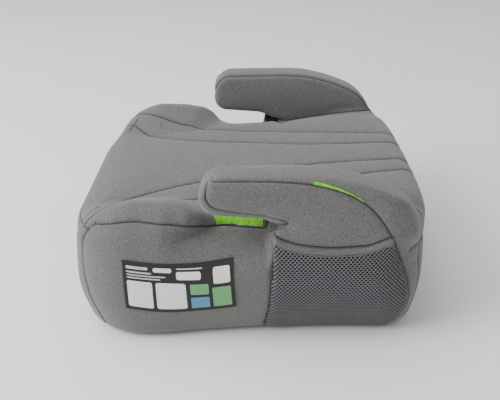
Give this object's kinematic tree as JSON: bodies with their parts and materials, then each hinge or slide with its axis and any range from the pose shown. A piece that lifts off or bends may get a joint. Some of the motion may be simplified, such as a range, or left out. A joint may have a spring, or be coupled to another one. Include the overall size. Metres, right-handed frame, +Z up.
{
  "type": "booster seat",
  "caption": "Backless child booster seat: padded knit cover over a ribbed moulded shell, two forward-pointing armrests with open belt slots below, mesh side pockets.",
  "frame": {"origin": "on the floor under the middle of the seat, at the bottom of the rubber feet", "axes": "+Z up; the seated child faces -Y, so +Y points to the back rest of the vehicle seat; +X is the child's left-hand side"},
  "size_m": [0.4106, 0.422, 0.216],
  "materials": {
    "shell_plastic": "fine matte moulded polypropylene",
    "tray_plastic": "fine matte moulded polypropylene",
    "armrest_plastic": "matte moulded polypropylene",
    "screw_steel": "zinc plated steel",
    "foot_rubber": "soft matte rubber",
    "foam": "open-cell polyurethane foam",
    "knit_cover": "grey melange knit laminated to thin foam",
    "pocket_mesh": "open grey spacer mesh",
    "binding_tape": "grey woven edge binding",
    "green_guide": "bright green satin tape",
    "label": "dark woven label with blank pale panels",
    "elastic": "black flat elastic"
  },
  "bodies": {
    "root": {"armrest_core_left": "armrest_plastic", "armrest_core_right": "armrest_plastic", "armrest_foam_left": "foam", "armrest_foam_right": "foam", "armrest_gusset_left": "knit_cover", "armrest_gusset_right": "knit_cover", "armrest_inner_panel_left": "knit_cover", "armrest_inner_panel_right": "knit_cover", "armrest_outer_panel_left": "knit_cover", "armrest_outer_panel_right": "knit_cover", "armrest_screws_left": "screw_steel", "armrest_screws_right": "screw_steel", "base_tray": "tray_plastic", "belt_guide_band_left": "green_guide", "belt_guide_band_right": "green_guide", "belt_guide_strip_left": "green_guide", "belt_guide_strip_right": "green_guide", "bolster_panel_left": "knit_cover", "bolster_panel_right": "knit_cover", "care_label": "label", "cover_hem": "knit_cover", "front_foam": "foam", "front_panel": "knit_cover", "hem_elastic": "elastic", "pocket_binding_left": "binding_tape", "pocket_binding_right": "binding_tape", "pocket_mesh_left": "pocket_mesh", "pocket_mesh_right": "pocket_mesh", "rear_foam": "foam", "rear_panel": "knit_cover", "rubber_feet": "foot_rubber", "seat_center_panel": "knit_cover", "seat_foam": "foam", "seat_shell": "shell_plastic", "seat_strip_left": "knit_cover", "seat_strip_right": "knit_cover", "shell_screws": "screw_steel", "side_foam_left": "foam", "side_foam_right": "foam", "side_panel_left": "knit_cover", "side_panel_right": "knit_cover"}
  },
  "joints": []
}
